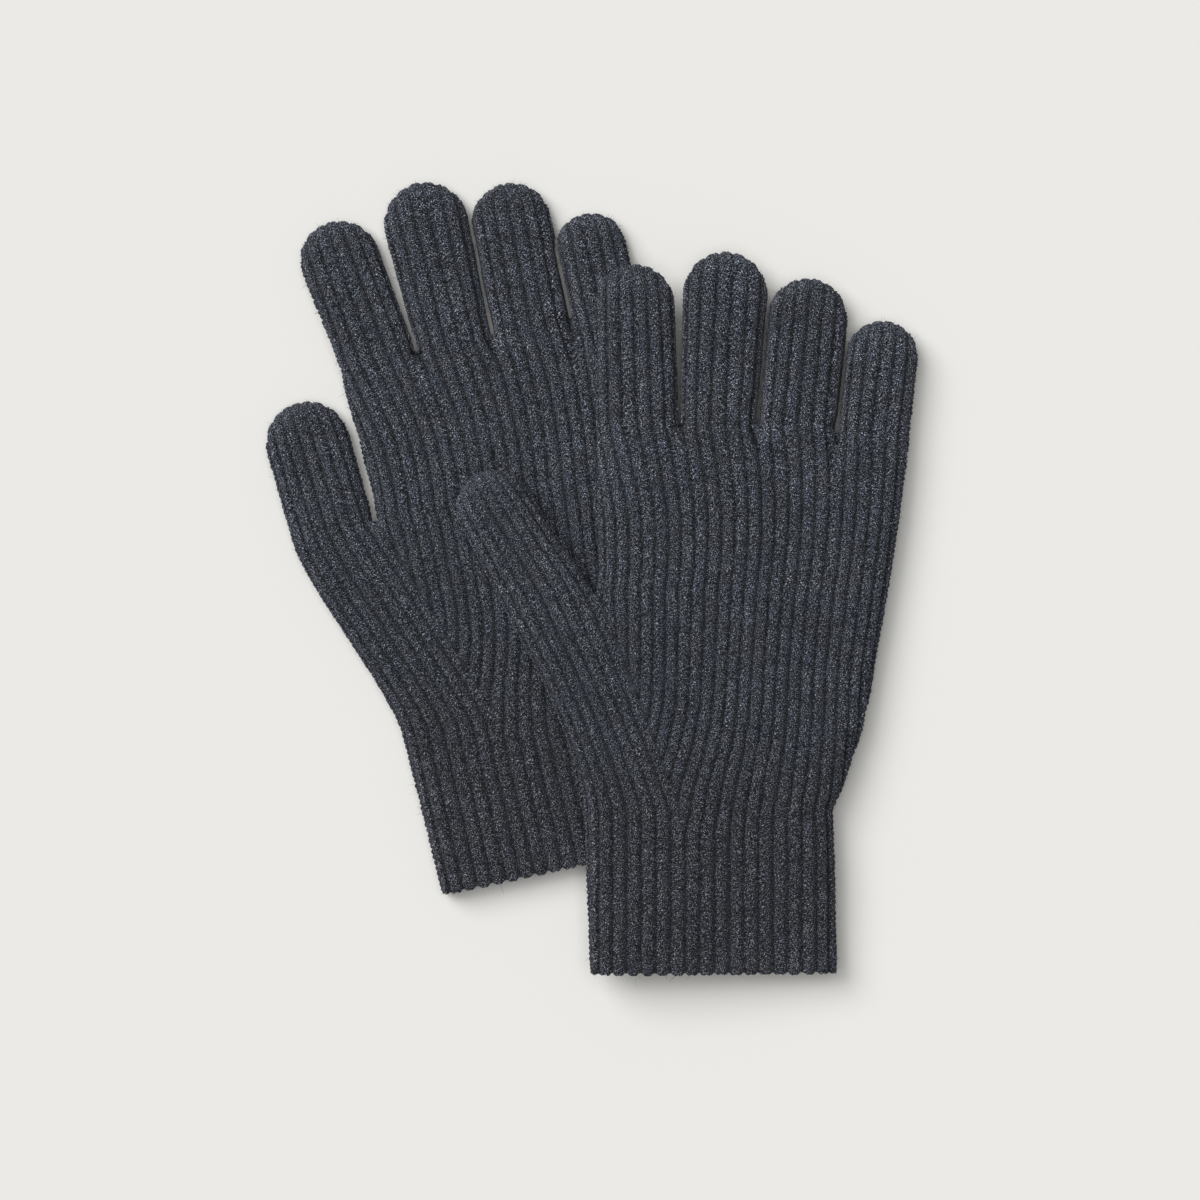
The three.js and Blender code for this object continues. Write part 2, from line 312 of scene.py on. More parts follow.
def surface_net(field, origin):
    """Points and quads of the surface where the field changes sign."""
    inside = field > 0
    cells = np.array(field.shape) - 1

    def corner(values, offset):
        return values[tuple(slice(o, o + n) for o, n in zip(offset, cells))]

    offsets = [(i, j, k) for i in (0, 1) for j in (0, 1) for k in (0, 1)]
    count = sum(corner(inside, o).astype(np.int8) for o in offsets)
    active = (count > 0) & (count < 8)
    index = np.full(active.shape, -1)
    index[active] = np.arange(active.sum())
    total = np.zeros((active.sum(), 3))
    crossings = np.zeros(active.sum())
    for a in offsets:
        for axis in range(3):
            if a[axis]:
                continue
            b = tuple(1 if i == axis else a[i] for i in range(3))
            fa, fb = corner(field, a)[active], corner(field, b)[active]
            cut = (fa > 0) != (fb > 0)
            t = np.where(cut, fa / np.where(cut, fa - fb, 1), 0)
            point = np.tile(np.array(a, float), (len(t), 1))
            point[:, axis] += t
            total += point * cut[:, None]
            crossings += cut
    places = np.argwhere(active) + total / crossings[:, None]
    points = origin + places * STEP
    quads = []
    for axis in range(3):
        u, v = (axis + 1) % 3, (axis + 2) % 3
        low = [slice(1, -1)] * 3
        low[axis] = slice(0, -1)
        high = list(low)
        high[axis] = slice(1, None)
        a, b = inside[tuple(low)], inside[tuple(high)]
        for sign, change in ((1, a & ~b), (-1, b & ~a)):
            spot = np.argwhere(change)
            spot[:, u] += 1
            spot[:, v] += 1
            ring = []
            for du, dv in ((0, 0), (-1, 0), (-1, -1), (0, -1)):
                cell = spot.copy()
                cell[:, u] += du
                cell[:, v] += dv
                ring.append(index[cell[:, 0], cell[:, 1], cell[:, 2]])
            quads.append(np.stack(ring[::sign], axis=1))
    quads = np.vstack(quads)
    return points, quads[(quads >= 0).all(axis=1)]


def smooth(points, quads, rounds=2):
    """Evens out the points, each towards the mean of its neighbours."""
    starts = quads.ravel()
    ends = np.roll(quads, -1, axis=1).ravel()
    count = len(points)
    degree = np.bincount(starts, minlength=count) + np.bincount(ends, minlength=count)
    for _ in range(rounds):
        total = np.stack([
            np.bincount(starts, points[ends, i], count) + np.bincount(ends, points[starts, i], count)
            for i in range(3)
        ], axis=1)
        points = 0.5 * points + 0.5 * total / degree[:, None]
    return points


def point_normals(points, quads):
    a, b, c, d = (points[quads[:, i]] for i in range(4))
    face = np.cross(c - a, d - b)
    total = np.stack([
        sum(np.bincount(quads[:, j], face[:, i], len(points)) for j in range(4)) for i in range(3)
    ], axis=1)
    return total / np.maximum(np.linalg.norm(total, axis=1), 1e-12)[:, None]


def sample(grid, x, y):
    """A grid of values read between its points. x and y are in steps from its corner."""
    i = np.clip(np.floor(x).astype(int), 0, grid.shape[0] - 2)
    j = np.clip(np.floor(y).astype(int), 0, grid.shape[1] - 2)
    u, v = x - i, y - j
    low = grid[i, j] * (1 - u) + grid[i + 1, j] * u
    high = grid[i, j + 1] * (1 - u) + grid[i + 1, j + 1] * u
    return low * (1 - v) + high * v


def glove_surface(plan):
    """The bare tube, before the stitches.

    Gives its points and quads, and each point's distance and direction to the outline.
    """
    outline = glove_outline(plan)
    margin, headroom, mouth_margin = 3.0, 1.3, 1.75
    low = np.array([*(outline.min(axis=0) - margin), MIDDLE - BOTTOM - headroom])
    low[1] = -mouth_margin
    high = np.array([*(outline.max(axis=0) + margin), MIDDLE + TOP + headroom])
    counts = np.ceil((high - low) / STEP).astype(int) + 1
    xs, ys, zs = (low[i] + np.arange(counts[i]) * STEP[i] for i in range(3))
    gx, gy = np.meshgrid(xs, ys, indexing="ij")
    noise = Noise(plan["glove"]["seed"])
    distance = signed_distance(np.stack([gx.ravel(), gy.ravel()], axis=1), outline).reshape(gx.shape)
    wobble = OUTLINE_WOBBLE * noise(gx / 9, gy / 9) * smoothstep((distance + 1) / 2)
    distance = distance + FLUFF + wobble
    distance = np.minimum(distance, finger_border(plan, gx, gy) - APART)
    lip = WALL / 2 * (1 - np.sqrt(1 - (1 - np.clip(gy / LIP, 0, 1)) ** 2))
    factor = thickness_factor(plan, gx, gy) * (1 + THICKNESS_WOBBLE * noise(gx / 17 + 40, gy / 21))
    hem = HEM_SWELL * (1 - smoothstep((gy - HEM_LENGTH) / 2.0))
    bend = np.clip(1 - (distance - lip) / ROLL, 0, None)
    depth = WALL - lip
    inner_bend = np.clip(1 - (distance - depth) / (ROLL - WALL), 0, None)
    closing = 1 - smoothstep((gy - CAVITY_START) / (CAVITY_END - CAVITY_START))
    height = zs[None, None, :] - MIDDLE

    def body(top, bottom, edge):
        half = np.where(height > 0, top[:, :, None], bottom[:, :, None])
        return (1 - np.sqrt(edge[:, :, None] ** 2 + (height / half) ** 2)) * half

    outer = body(TOP * factor + hem - lip, BOTTOM * factor - lip, bend)
    cavity = body(
        np.maximum((TOP * factor + hem - depth) * closing, 0.05),
        np.maximum((BOTTOM * factor - depth) * closing, 0.05), inner_bend,
    )
    field = np.minimum(np.minimum(outer, -cavity), ys[None, :, None])
    points, quads = surface_net(field, low)
    points = smooth(points, quads)
    x, y = (points[:, 0] - low[0]) / STEP[0], (points[:, 1] - low[1]) / STEP[1]
    away = np.gradient(-distance, STEP[0], STEP[1])
    outwards = np.stack([sample(g, x, y) for g in away], axis=1)
    outwards /= np.maximum(np.linalg.norm(outwards, axis=1), 1e-6)[:, None]
    return points, quads, sample(distance, x, y), outwards


# ---- Where each piece and each stitch lies --------------------------------------------------------
PIECES = ["cuff_hem", "cuff", "palm", "thumb_gusset"]
PIECES += [f"{digit['name']}_{part}" for digit in [THUMB, *FINGERS] for part in ("base", "tip")]
# The regions of a glove. The fingers follow each other from ON_FINGERS on.
ON_CUFF, ON_PALM, ON_GUSSET, ON_THUMB, ON_FINGERS = range(5)
TIP_START = 0.68                    # share of a digit's base length where its tip piece begins
KNUCKLE_END = 0.55                  # share of it where a bend at the root would end; the point is worked out but not used
FOLD_SPREAD = 0.29                  # share of it on each side of the middle fold over which it would bend; the points are worked out but not used


def digit_place(digit, x, y):
    """How far along a digit from its root line, how far across, and across as a share of its width."""
    along = (x - digit["root"][0]) * digit["direction"][0] + (y - digit["root"][1]) * digit["direction"][1]
    across = (x - digit["root"][0]) * digit["side"][0] + (y - digit["root"][1]) * digit["side"][1]
    widening = np.clip(along / digit["shaft"], -0.1, 1.2)
    half = digit["width"] / 2 + (digit["radius"] - digit["width"] / 2) * widening
    return along, across, 0.5 + across / (2 * half)


def axis_offset(digit, x, y):
    """How far a point is from a digit's axis, as a share of its width: 0.5 on its outline."""
    along, across, share = digit_place(digit, x, y)
    ahead = np.maximum(along - digit["shaft"], 0)
    return np.where(ahead > 0, np.hypot(ahead, across) / (2 * digit["radius"]), np.abs(share - 0.5))


def finger_border(plan, x, y):
    """Distance to the border between two neighbouring fingers, above their roots."""
    nearest = np.full_like(x, 1000.0)
    for left, right in zip(plan["fingers"], plan["fingers"][1:]):
        difference = np.abs(axis_offset(left, x, y) - axis_offset(right, x, y))
        distance = (left["width"] + right["width"]) / 4 * difference
        above_roots = y > max(left["root"][1], right["root"][1])
        nearest = np.where(above_roots, np.minimum(nearest, distance), nearest)
    return nearest


def past_root(digit, x, y):
    return (x - digit["root"][0]) * digit["across"][0] + (y - digit["root"][1]) * digit["across"][1]


def regions(plan, x, y):
    """Which region each point is in."""
    region = np.full(len(x), ON_PALM)
    across = seam_place(plan, x, y)[1]
    fork, index_root = plan["fork"], plan["fingers"][0]["left"]
    palm_edge = np.interp(y, [fork[1], index_root[1]], [fork[0], index_root[0]]) - FLUFF
    left_of_seam = np.where(y < fork[1], across < 0, (x < palm_edge) & (y < index_root[1]))
    region[left_of_seam] = ON_GUSSET
    region[y < CUFF_LENGTH] = ON_CUFF
    thumb = (past_root(plan["thumb"], x, y) > 0) & left_of_seam & (y > CUFF_LENGTH)
    region[thumb] = ON_THUMB
    best = np.full(len(x), 1e9)
    for i, finger in enumerate(plan["fingers"]):
        offset = axis_offset(finger, x, y)
        free = (region != ON_THUMB) & (region != ON_GUSSET)
        mine = (past_root(finger, x, y) > 0) & free & (offset < best)
        if finger["name"] == "little":
            mine &= (x > finger["left"][0] - SLIT) | (y > index_root[1])
        region[mine] = ON_FINGERS + i
        best[mine] = offset[mine]
    return region


def evened(at, table, reach=9.0):
    """A table read between its rows, with its corners rounded off, except past its last row."""
    spread = np.minimum(reach, np.maximum(table[-1][0] - at, 0))
    return sum(np.interp(at + share * spread, *zip(*table)) for share in np.linspace(-1, 1, 7)) / 7


def knit_place(plan, region, x, y):
    """Which rib and which row a point is on, both as running numbers."""
    rib = (x - PALM_LEFT) / RIB
    row = y / COURSE
    up = (y - CUFF_LENGTH) * PALM_RIBS[-1][0] / plan["glove"]["palm"]
    count = evened(up, PALM_RIBS)
    outer_rib = (plan["wrist_right"][0] - PALM_LEFT) / RIB + evened(up, OUTER_RIBS)
    inner = np.interp(y, [CUFF_LENGTH, plan["fork"][1]], [GUSSET_FOOT, PALM_LEFT])
    outer = np.interp(y, plan["outer_curve"][:, 1], plan["outer_curve"][:, 0])
    palm_side = (region == ON_PALM) | ((region == ON_CUFF) & (x > GUSSET_FOOT))
    rib = np.where(palm_side, outer_rib - count * (outer - x) / (outer - inner), rib)
    thumb, fork = plan["thumb"], plan["fork"]
    left_top = thumb["centre"] - thumb["side"] * thumb["radius"]
    right_top = thumb["centre"] + thumb["side"] * thumb["radius"]
    left_line = np.vstack([plan["heel_curve"], left_top, left_top + 3 * (left_top - plan["heel"])])
    right_line = np.vstack([plan["foot"], fork, right_top, right_top + 3 * (right_top - fork)])
    left = np.interp(y, left_line[:, 1], left_line[:, 0])
    right = np.interp(y, right_line[:, 1], right_line[:, 0])
    first = (plan["wrist_left"][0] - PALM_LEFT) / RIB
    last = (GUSSET_FOOT - PALM_LEFT) / RIB
    beyond = (x - fork[0]) * thumb["direction"][0] + (y - fork[1]) * thumb["direction"][1]
    climb = y - CUFF_LENGTH
    rows = round((THUMB_FORK - 3) / COURSE)
    share = climb / np.maximum(climb - np.minimum(beyond, 0), 1)
    thumb_row = CUFF_LENGTH / COURSE + rows * share + np.maximum(beyond, 0) / COURSE
    on_thumb = (region == ON_GUSSET) | (region == ON_THUMB)
    rib = np.where(on_thumb, first + (last - first) * (x - left) / (right - left), rib)
    row = np.where(on_thumb, thumb_row, row)
    palm_rib = (plan["wrist_right"][0] - PALM_LEFT) / RIB + OUTER_RIBS[-1][1] - PALM_RIBS[-1][1]
    for i, finger in enumerate(plan["fingers"]):
        along, across, share = digit_place(finger, x, y)
        level = along - across * math.tan(finger["lean"]) * np.clip(1 - along / 25, 0, 1)
        start = palm_rib + (finger["root"][0] - finger["width"] / 2 - PALM_LEFT) / RIB
        mine = region == ON_FINGERS + i
        rib = np.where(mine, start + share * finger["width"] / RIB, rib)
        row = np.where(mine, (finger["root"][1] + level) / COURSE, row)
    return rib, row


def roll_length(turn):
    """Length round a tube's edge beyond what its plan shows, at a turn of the surface from level."""
    steps = np.linspace(0, math.pi / 2, 181)
    middle = (steps[1:] + steps[:-1]) / 2
    pieces = np.hypot(ROLL * np.cos(middle), TOP * np.sin(middle)) * np.diff(steps)
    lengths = np.concatenate([[0], np.cumsum(pieces)]) - ROLL * np.sin(steps)
    return np.interp(turn, steps, lengths)


def tip_share(plan, region, x, y):
    """0 along a digit's shaft, rising to 1 at the end of its round tip."""
    share = np.zeros_like(x)
    for i, digit in enumerate(plan["digits"]):
        ahead = digit_place(digit, x, y)[0] - digit["shaft"]
        share = np.where(region == ON_THUMB + i, smoothstep(ahead / digit["radius"]), share)
    return share


def stitches(rib, row, noise, tip):
    """Height of the knit's surface between 0, at the bottom of a groove, and 1, on a crest."""
    wander = RIB_WANDER * noise(rib * 0.31, row * 0.045 + 90)
    rib = rib + wander + RIB_JITTER * noise(rib * 1.7 + 50, row * 0.22)
    row = row + ROW_WANDER * noise(rib * 0.5 + 17, row * 0.06)
    side = np.abs(2 * (rib - np.floor(rib)) - 1)
    leg = row + CHEVRON * side
    number = np.floor(leg)
    ribs = np.floor(rib)
    # A value of its own for each stitch, from the noise's table.
    table_row = (ribs * 7 + number * 3).astype(int) % 256
    table_column = (number * 5 + ribs * 11).astype(int) % 256
    chance = noise.table[table_row, table_column]
    bump = np.abs(2 * (leg - number) - 1)
    round_leg = 1 - bump ** 2.2
    crest = 1 - side ** 2.6
    dots = 0.5 + 0.5 * np.cos(2 * math.pi * (row + 0.5))
    depth = GROOVE * (1 - crest) * (0.8 + 0.2 * dots) * (1 - TIP_FADE * tip)
    depth = depth + STITCH * (1 - round_leg) * (1 - 0.55 * side ** 4) * (1 + 0.35 * chance)
    depth = depth + CREST_SPLIT * np.exp(-(side / CREST_SPLIT) ** 2) + LOOSENESS * (1 + chance)
    return 1 - depth / (GROOVE + STITCH)


def make_knit(plan):
    """One glove's finished surface in its own frame, with the knit's coordinates at each point."""
    points, quads, distance, outwards = glove_surface(plan)
    noise = Noise(plan["glove"]["seed"] + 1)
    bend = np.clip(1 - distance / ROLL, 0, 1)
    level = np.abs(points[:, 2] - MIDDLE) / TOP
    outside = np.hypot(bend, level) > 0.8
    turn = np.arctan2(bend, level)
    shift = roll_length(turn)[:, None] * outwards
    region = regions(plan, points[:, 0], points[:, 1])
    # The ribs are counted on the unrolled tube, so they keep their width round its edge.
    spread = points[:, :2] + shift
    rib, row = knit_place(plan, region, spread[:, 0], spread[:, 1])
    relief = stitches(rib, row, noise, tip_share(plan, region, points[:, 0], points[:, 1]))
    normals = point_normals(points, quads)
    # Fingers that lie together press each other's sides flat.
    pressed = np.exp(-(finger_border(plan, points[:, 0], points[:, 1]) / PRESS_REACH) ** 2)
    points = points - normals * ((1 - relief) * (1 - PRESSED * pressed) * (GROOVE + STITCH))[:, None]
    return {
        "points": points, "quads": quads, "normals": point_normals(points, quads), "outside": outside,
        "knit": np.stack([rib * RIB, row * COURSE], axis=1), "relief": relief,
    }


def piece_labels(plan, knit):
    """The number in PIECES of the piece that each quad belongs to."""
    quads = knit["quads"]
    middle = knit["points"][quads].mean(axis=1)
    x, y = middle[:, 0], middle[:, 1]
    region = regions(plan, x, y)
    label = np.full(len(quads), PIECES.index("thumb_gusset"))
    label[region == ON_PALM] = PIECES.index("palm")
    label[region == ON_CUFF] = PIECES.index("cuff")
    label[(region == ON_CUFF) & (y < HEM_LENGTH)] = PIECES.index("cuff_hem")
    for i, digit in enumerate(plan["digits"]):
        mine = region == ON_THUMB + i
        tip = past_root(digit, x, y) > TIP_START * digit["base"]
        label[mine] = PIECES.index(f"{digit['name']}_base")
        label[mine & tip] = PIECES.index(f"{digit['name']}_tip")
    return label


def add_fibres(knit, label, seed):
    """Adds loose fibres to the knit and its labels, as thin four-sided strands that start inside it."""
    rng = np.random.default_rng(seed)
    quads = knit["quads"]
    normal = knit["normals"][quads].mean(axis=1)
    middle = knit["points"][quads].mean(axis=1)
    shown = knit["outside"][quads[:, 0]] & (normal[:, 2] > -0.3) & (middle[:, 2] > 2)
    chance = shown * (0.1 + (1 - np.abs(normal[:, 2])) ** 2)
    site = rng.choice(len(quads), FIBRES, replace=False, p=chance / chance.sum())
    length = np.clip(rng.exponential(FIBRE_LENGTH, (FIBRES, 1)), *FIBRE_LIMITS) + FIBRE_SUNK
    heading = normal[site] + rng.normal(0, 0.7, (FIBRES, 3))
    heading[:, 2] = np.maximum(heading[:, 2], -0.1)
    heading /= np.linalg.norm(heading, axis=1, keepdims=True)
    sag = rng.normal(0, 0.22, (FIBRES, 3)) * length
    sag[:, 2] = np.abs(sag[:, 2])
    side = np.cross(heading, rng.normal(0, 1, (FIBRES, 3)))
    side /= np.linalg.norm(side, axis=1, keepdims=True)
    other = np.cross(heading, side)
    start = middle[site] - FIBRE_SUNK * normal[site]
    strands = []
    for share, width in ((0, 1), (0.5, 0.8), (1, 0.35)):
        centre = start + share * length * heading + share ** 2 * sag
        for turn in range(4):
            angle = turn * math.pi / 2
            around = math.cos(angle) * side + math.sin(angle) * other
            strands.append(centre + FIBRE_RADIUS * width * around)
    # A strand's twelve corners are three rings of four: its two ends are closed, and its sides joined.
    corners = len(strands)
    faces = [(3, 2, 1, 0), (8, 9, 10, 11)]
    for ring in (0, 4):
        for k in range(4):
            after = (k + 1) % 4
            faces.append((ring + k, ring + after, ring + 4 + after, ring + 4 + k))
    first = len(knit["points"]) + corners * np.arange(FIBRES)
    knit["points"] = np.vstack([knit["points"], np.stack(strands, axis=1).reshape(-1, 3)])
    knit["quads"] = np.vstack([quads, (first[:, None, None] + np.array(faces)).reshape(-1, 4)])
    knit["knit"] = np.vstack([knit["knit"], np.repeat(knit["knit"][quads[site, 0]], corners, axis=0)])
    knit["relief"] = np.concatenate([knit["relief"], np.full(corners * FIBRES, 0.8)])
    return np.concatenate([label, np.repeat(label[site], len(faces))])


# ---- From the glove's frame to the row frame ------------------------------------------------------
JOINTS = {joint["name"]: joint for joint in frame["joints"]}


def glove_frame(plan):
    """The glove's axes and origin in the row frame, from the hinge at its middle finger's root."""
    joint = JOINTS[f"{plan['glove']['name']}_middle_knuckle"]
    x_axis = np.array(joint["axis"])
    x_axis /= np.linalg.norm(x_axis)
    y_axis = np.cross([0.0, 0.0, 1.0], x_axis)
    y_axis /= np.linalg.norm(y_axis)
    axes = np.stack([x_axis, y_axis, np.cross(x_axis, y_axis)])
    root = plan["fingers"][1]["root"]
    hinge = np.array([root[0], root[1], HINGE_HEIGHT])
    return axes, np.array(joint["pos_m"]) / MM - hinge @ axes


def drape(plan, points):
    """How much lower the cloth lies than its flat shape, in mm, at points of the row frame.

    The upper glove rests on the lower one and sinks towards the floor past its edge.
    """
    if plan["glove"]["name"] == "rear":
        return np.zeros(len(points))
    x, y = points[:, 0], points[:, 1]
    resting = BEARING_SLOPE * np.clip(BEARING - x, 0, 70)
    past_edge = EDGE_SINK * smoothstep((x - BEARING + 10) / 80)
    past_cuff = CUFF_SINK * smoothstep((-98 - y) / 40)
    tips = TIP_SINK * smoothstep((y - 45) / 60) * smoothstep((x - BEARING) / 25)
    return REST_SINK + resting + past_edge + past_cuff + tips


def to_row_frame(plan, points):
    axes, origin = glove_frame(plan)
    placed = points @ axes + origin
    placed[:, 2] -= drape(plan, placed)
    return placed * MM


def place_point(plan, point):
    axes, origin = glove_frame(plan)
    return tuple((np.array([point[0], point[1], MIDDLE]) @ axes + origin) * MM)


# ---- Pieces ---------------------------------------------------------------------------------------
def add_piece(name, points, quads, normals, knit, relief, material):
    used, quads = np.unique(quads, return_inverse=True)
    quads = quads.reshape(-1, 4)
    mesh = bpy.data.meshes.new(name)
    mesh.vertices.add(len(used))
    mesh.vertices.foreach_set("co", points[used].astype(np.float32).ravel())
    mesh.loops.add(quads.size)
    mesh.loops.foreach_set("vertex_index", quads.ravel().astype(np.int32))
    mesh.polygons.add(len(quads))
    mesh.polygons.foreach_set("loop_start", np.arange(0, quads.size, 4, dtype=np.int32))
    mesh.update(calc_edges=True)
    uv = mesh.uv_layers.new(name="knit")
    uv.data.foreach_set("uv", knit[used][quads.ravel()].astype(np.float32).ravel())
    attribute = mesh.attributes.new("relief", "FLOAT", "POINT")
    attribute.data.foreach_set("value", relief[used].astype(np.float32))
    mesh.polygons.foreach_set("use_smooth", np.ones(len(quads), bool))
    mesh.normals_split_custom_set_from_vertices(normals[used].astype(np.float32))
    mesh.materials.append(material)
    piece = bpy.data.objects.new(name, mesh)
    bpy.context.scene.collection.objects.link(piece)
    return piece


def attach(piece, plan, name):
    """Ties the palm, gusset and cuff pieces to their glove's hand body, and the upper glove's hem to its
    cuff body. The digits' pieces and the upper glove's cuff stay where they are: the two points between
    which they would bend are worked out, but not used.
    """
    glove = plan["glove"]["name"]
    digits = {digit["name"]: digit for digit in plan["digits"]}
    stem, _, part = name.rpartition("_")
    if part in ("base", "tip"):
        digit = digits[stem]
        root, across, base = digit["root"], digit["across"], digit["base"]
        if part == "base":
            start, end = root, root + across * base * KNUCKLE_END
        else:
            start = root + across * base * (1 - FOLD_SPREAD)
            end = root + across * base * (1 + FOLD_SPREAD)
        place_point(plan, start)
        place_point(plan, end)
        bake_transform(piece)
    elif glove == "front" and name == "cuff":
        wrist = vector(WRIST_SHIFT, CUFF_LENGTH)
        place_point(plan, wrist)
        place_point(plan, wrist - vector(0, WRIST_FOLD))
        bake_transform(piece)
    elif glove == "front" and name == "cuff_hem":
        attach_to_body(piece, "front_cuff")
    else:
        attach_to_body(piece, f"{glove}_hand")


def build_glove(glove, material):
    plan = make_plan(glove)
    knit = make_knit(plan)
    label = add_fibres(knit, piece_labels(plan, knit), glove["seed"] + 2)
    points = to_row_frame(plan, knit["points"])
    normals = point_normals(points, knit["quads"])
    for number, name in enumerate(PIECES):
        node = f"{glove['name']}_{name}"
        quads = knit["quads"][label == number]
        piece = add_piece(f"{node}_knit", points, quads, normals, knit["knit"], knit["relief"], material)
        attach(piece, plan, name)
        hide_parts(node)


# ---- Yarn -----------------------------------------------------------------------------------------
SHADE_LENGTH = 250.0                # length from mouth to fingertip over which the colour goes from darker at the cuff to lighter at the fingers


def yarn_material(name, seed):
    """Melange yarn: flecked fibres along the stitches' legs, with painted shade down in the grooves and
    painted highlight on the crests.
    """
    material = bpy.data.materials.new(name)
    material.use_nodes = True
    tree = material.node_tree
    nodes, links = tree.nodes, tree.links
    shader = nodes["Principled BSDF"]
    shader.inputs["Roughness"].default_value = 0.95
    shader.inputs["Specular IOR Level"].default_value = 0.15
    shader.inputs["Sheen Weight"].default_value = 0.12
    shader.inputs["Sheen Roughness"].default_value = 0.5
    shader.inputs["Sheen Tint"].default_value = (0.75, 0.8, 0.9, 1)

    def feed(socket, value):
        """Sets a socket to a number, or links it to another node's output."""
        if isinstance(value, float):
            socket.default_value = value
        else:
            links.new(value, socket)

    def math_node(operation, *values):
        node = nodes.new("ShaderNodeMath")
        node.operation = operation
        for socket, value in zip(node.inputs, values):
            feed(socket, value)
        return node.outputs[0]

    def noise_node(vector_socket, scale, detail, roughness=0.5):
        node = nodes.new("ShaderNodeTexNoise")
        node.inputs["Scale"].default_value = scale
        node.inputs["Detail"].default_value = detail
        node.inputs["Roughness"].default_value = roughness
        links.new(vector_socket, node.inputs["Vector"])
        return node.outputs["Fac"]

    def combine(x, y, z):
        node = nodes.new("ShaderNodeCombineXYZ")
        for socket, value in zip(node.inputs, (x, y, z)):
            feed(socket, value)
        return node.outputs[0]

    def ramp(value, stops):
        node = nodes.new("ShaderNodeValToRGB")
        links.new(value, node.inputs[0])
        while len(node.color_ramp.elements) < len(stops):
            node.color_ramp.elements.new(0.5)
        for element, (position, colour) in zip(node.color_ramp.elements, stops):
            element.position = position
            element.color = (*colour, 1)
        return node.outputs[0]

    def multiply(a, b):
        node = nodes.new("ShaderNodeMix")
        node.data_type = "RGBA"
        node.blend_type = "MULTIPLY"
        node.inputs[0].default_value = 1.0
        links.new(a, node.inputs[6])
        links.new(b, node.inputs[7])
        return node.outputs[2]

    def greys(value, stops):
        return ramp(value, [(position, (level, level, level)) for position, level in stops])

    uv = nodes.new("ShaderNodeUVMap")
    uv.uv_map = "knit"
    split = nodes.new("ShaderNodeSeparateXYZ")
    links.new(uv.outputs[0], split.inputs[0])
    across, along = split.outputs[0], split.outputs[1]
    rib = math_node("DIVIDE", across, RIB)
    side = math_node("SUBTRACT", math_node("FRACT", rib), 0.5)
    offset = math_node("MULTIPLY", math_node("ABSOLUTE", side), RIB)
    lengthwise = math_node("SUBTRACT", along, offset)
    crosswise = math_node("ADD", along, offset)
    rib_number = math_node("MULTIPLY", math_node("FLOOR", rib), 3.7)
    half = math_node("ADD", math_node("MULTIPLY", math_node("SIGN", side), 5.3), rib_number)
    # Fibres follow the stitch's legs, which slant the other way on the rib's other half.
    strand = combine(
        math_node("MULTIPLY", lengthwise, 1.3), math_node("MULTIPLY", crosswise, 3.2),
        math_node("ADD", half, seed),
    )
    fibre = noise_node(strand, scale=1.0, detail=1.0)
    fleck = noise_node(combine(across, along, seed + 3.3), scale=3.0, detail=0.0)
    patch = noise_node(combine(across, along, seed + 9.1), scale=0.035, detail=3.0, roughness=0.6)
    tint = noise_node(combine(across, along, seed + 21.7), scale=0.12, detail=2.0)

    colour = ramp(fibre, [
        (0.34, (0.003, 0.004, 0.005)),
        (0.46, (0.014, 0.016, 0.021)),
        (0.54, (0.050, 0.054, 0.065)),
        (0.62, (0.165, 0.177, 0.204)),
        (0.70, (0.400, 0.420, 0.465)),
    ])
    grain = greys(fleck, [(0.34, 0.05), (0.50, 0.75), (0.64, 3.2)])
    warmth = ramp(tint, [(0.40, (0.98, 0.995, 1.03)), (0.60, (1.02, 1.0, 0.975))])
    tone = greys(patch, [(0.35, 0.88), (0.65, 1.10)])
    # The colour is darker at the cuff and lighter towards the fingertips.
    height = math_node("DIVIDE", along, SHADE_LENGTH)
    shade = ramp(height, [
        (0.20, (0.67, 0.63, 0.64)),
        (0.36, (0.75, 0.76, 0.79)),
        (0.75, (0.87, 0.87, 0.895)),
    ])
    relief = nodes.new("ShaderNodeAttribute")
    relief.attribute_name = "relief"
    # Painted shade and highlight: the colour darkens down in the grooves, where shade falls, and lightens on
    # the crests, where light falls.
    groove_shade_crest_highlight = ramp(relief.outputs["Fac"], [
        (0.15, (0.04, 0.04, 0.045)),
        (0.50, (0.55, 0.56, 0.57)),
        (0.75, (0.97, 1.00, 1.02)),
        (0.95, (1.25, 1.29, 1.33)),
    ])
    for layer in (grain, warmth, tone, shade, groove_shade_crest_highlight):
        colour = multiply(colour, layer)
    links.new(colour, shader.inputs["Base Color"])

    bump = nodes.new("ShaderNodeBump")
    bump.inputs["Strength"].default_value = 1.0
    bump.inputs["Distance"].default_value = 0.0009
    links.new(math_node("ADD", fibre, math_node("MULTIPLY", fleck, 0.6)), bump.inputs["Height"])
    links.new(bump.outputs[0], shader.inputs["Normal"])
    return material


# ---- Studio ---------------------------------------------------------------------------------------
CAMERA_X, CAMERA_Y, CAMERA_HEIGHT = 3.3, -7.6, 1500.0
FRAME_WIDTH = 416.7                 # width that the camera sees at the gloves' middle height
SENSOR = 36.0
# Broad soft lights from the upper left: name, elevation, apparent size in degrees, strength.
LIGHTS = [("key", 46.0, 38.0, 1.94), ("overhead", 84.0, 50.0, 1.44)]
LIGHT_FROM = (-0.78, 0.626)         # the level part of the direction towards them
AMBIENT = 0.14
BACKDROP = (0.815, 0.807, 0.776, 1)
PAPER = (0.800, 0.792, 0.762, 1)
FLOOR_HALF = 6.0                    # half the floor's width, in metres


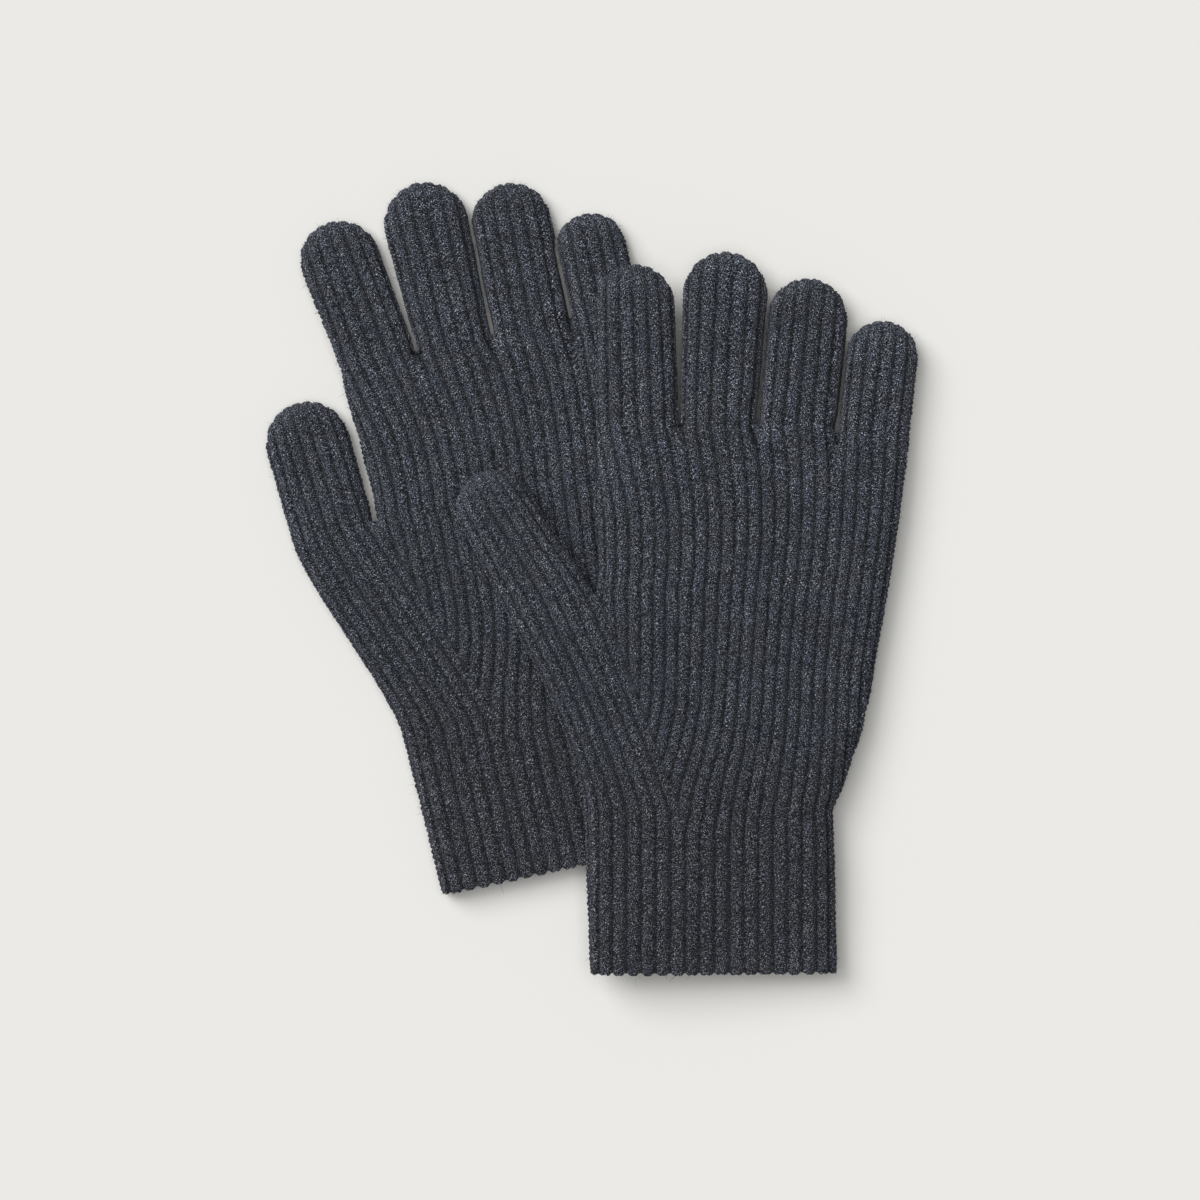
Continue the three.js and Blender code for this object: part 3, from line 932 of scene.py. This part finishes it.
def add_studio():
    scene = bpy.context.scene
    camera = bpy.data.cameras.new("camera")
    camera.sensor_width = SENSOR
    camera.lens = SENSOR * (CAMERA_HEIGHT - MIDDLE) / FRAME_WIDTH
    camera.clip_start, camera.clip_end = 0.01, 20.0
    camera_object = bpy.data.objects.new("camera", camera)
    camera_object.location = (CAMERA_X * MM, CAMERA_Y * MM, CAMERA_HEIGHT * MM)
    scene.collection.objects.link(camera_object)
    scene.camera = camera_object

    for name, elevation, angle, energy in LIGHTS:
        sun = bpy.data.lights.new(name, "SUN")
        sun.energy = energy
        sun.angle = math.radians(angle)
        lamp = bpy.data.objects.new(name, sun)
        level = math.cos(math.radians(elevation))
        towards = (LIGHT_FROM[0] * level, LIGHT_FROM[1] * level, math.sin(math.radians(elevation)))
        lamp.rotation_euler = Vector(towards).to_track_quat("Z", "Y").to_euler()
        scene.collection.objects.link(lamp)

    world = bpy.data.worlds.new("studio")
    world.use_nodes = True
    nodes, links = world.node_tree.nodes, world.node_tree.links
    ambient = nodes["Background"]
    ambient.inputs[0].default_value = (1.0, 1.0, 1.0, 1)
    ambient.inputs[1].default_value = AMBIENT
    backdrop = nodes.new("ShaderNodeBackground")
    backdrop.inputs[0].default_value = BACKDROP
    seen = nodes.new("ShaderNodeLightPath")
    choice = nodes.new("ShaderNodeMixShader")
    links.new(seen.outputs["Is Camera Ray"], choice.inputs[0])
    links.new(ambient.outputs[0], choice.inputs[1])
    links.new(backdrop.outputs[0], choice.inputs[2])
    links.new(choice.outputs[0], nodes["World Output"].inputs[0])
    scene.world = world

    mesh = bpy.data.meshes.new("floor")
    low, high = -FLOOR_HALF, FLOOR_HALF
    corners = [(low, low, 0), (high, low, 0), (high, high, 0), (low, high, 0)]
    mesh.from_pydata(corners, [], [(0, 1, 2, 3)])
    paper = bpy.data.materials.new("floor")
    paper.use_nodes = True
    shader = paper.node_tree.nodes["Principled BSDF"]
    shader.inputs["Base Color"].default_value = PAPER
    shader.inputs["Roughness"].default_value = 0.9
    shader.inputs["Specular IOR Level"].default_value = 0.0
    mesh.materials.append(paper)
    floor = bpy.data.objects.new("floor", mesh)
    scene.collection.objects.link(floor)
    scene.view_settings.view_transform = "Standard"
    scene.view_settings.look = "None"


add_studio()
build_glove(REAR, yarn_material("rear_yarn", 3.0))
build_glove(FRONT, yarn_material("front_yarn", 8.0))
